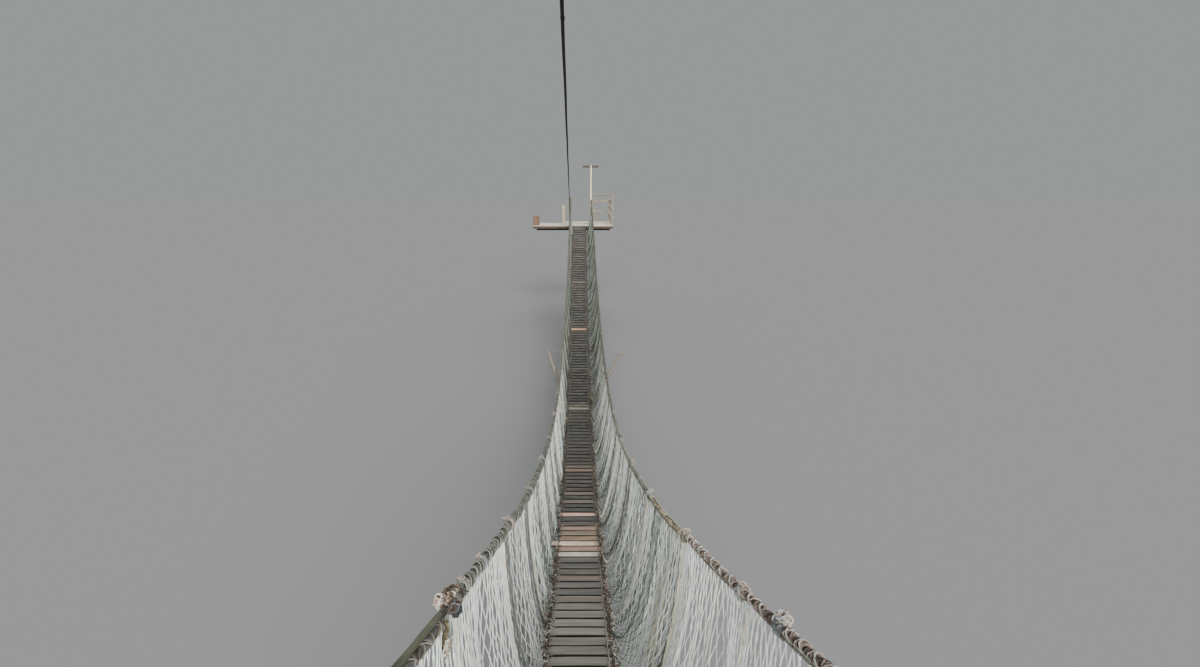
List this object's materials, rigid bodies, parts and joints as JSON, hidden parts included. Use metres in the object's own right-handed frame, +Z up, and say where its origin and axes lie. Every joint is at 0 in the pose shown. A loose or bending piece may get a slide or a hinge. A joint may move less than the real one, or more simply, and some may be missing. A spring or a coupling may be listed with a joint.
{
  "type": "rope suspension footbridge",
  "caption": "Sagging rope footbridge between two tree platforms: plank deck on two cables, rope handrails with netting, a taut cable overhead and a spreader of poles at mid span.",
  "frame": {"origin": "on the face of the near platform's front bearer that rests against the tree, at mid depth of the bearer and on the deck's centre line", "axes": "+Y along the span from the near platform to the far one, +Z up, +X to the right when crossing from near to far"},
  "size_m": [4.24, 36.4, 7.9318],
  "materials": {
    "deck_board": "weathered matt",
    "platform_board": "weathered matt",
    "dark_timber": "rough sawn, dark",
    "pole": "debarked, weathered",
    "bark_timber": "rough, reddish",
    "rope": "laid fibre rope",
    "net_cord": "braided cord",
    "steel_cable": "stranded, dull",
    "black_cable": "sheathed, matt"
  },
  "bodies": {
    "root": {"near_bearer_front": "dark_timber", "near_bearer_back": "dark_timber", "near_joists": "dark_timber", "near_floor": "platform_board", "near_fence": "pole", "far_bearer_front": "dark_timber", "far_bearer_back": "dark_timber", "far_joists": "dark_timber", "far_floor": "platform_board", "far_fence": "pole", "near_portal": "pole", "far_mast": "pole", "far_side_post": "pole", "spreader": "pole", "far_left_post": "dark_timber", "far_stub_post": "bark_timber", "handrail_left": "rope", "net_head_rope_left": "rope", "deck_cable_left": "steel_cable", "handrail_right": "rope", "net_head_rope_right": "rope", "deck_cable_right": "steel_cable", "overhead_cable": "black_cable", "deck_1": "deck_board", "deck_2": "deck_board", "deck_3": "deck_board", "deck_4": "deck_board", "deck_5": "deck_board", "deck_6": "deck_board", "deck_7": "deck_board", "net_left_1": "net_cord", "net_left_2": "net_cord", "net_left_3": "net_cord", "net_left_4": "net_cord", "net_left_5": "net_cord", "net_left_6": "net_cord", "net_left_7": "net_cord", "net_right_1": "net_cord", "net_right_2": "net_cord", "net_right_3": "net_cord", "net_right_4": "net_cord", "net_right_5": "net_cord", "net_right_6": "net_cord", "net_right_7": "net_cord"}
  },
  "joints": []
}
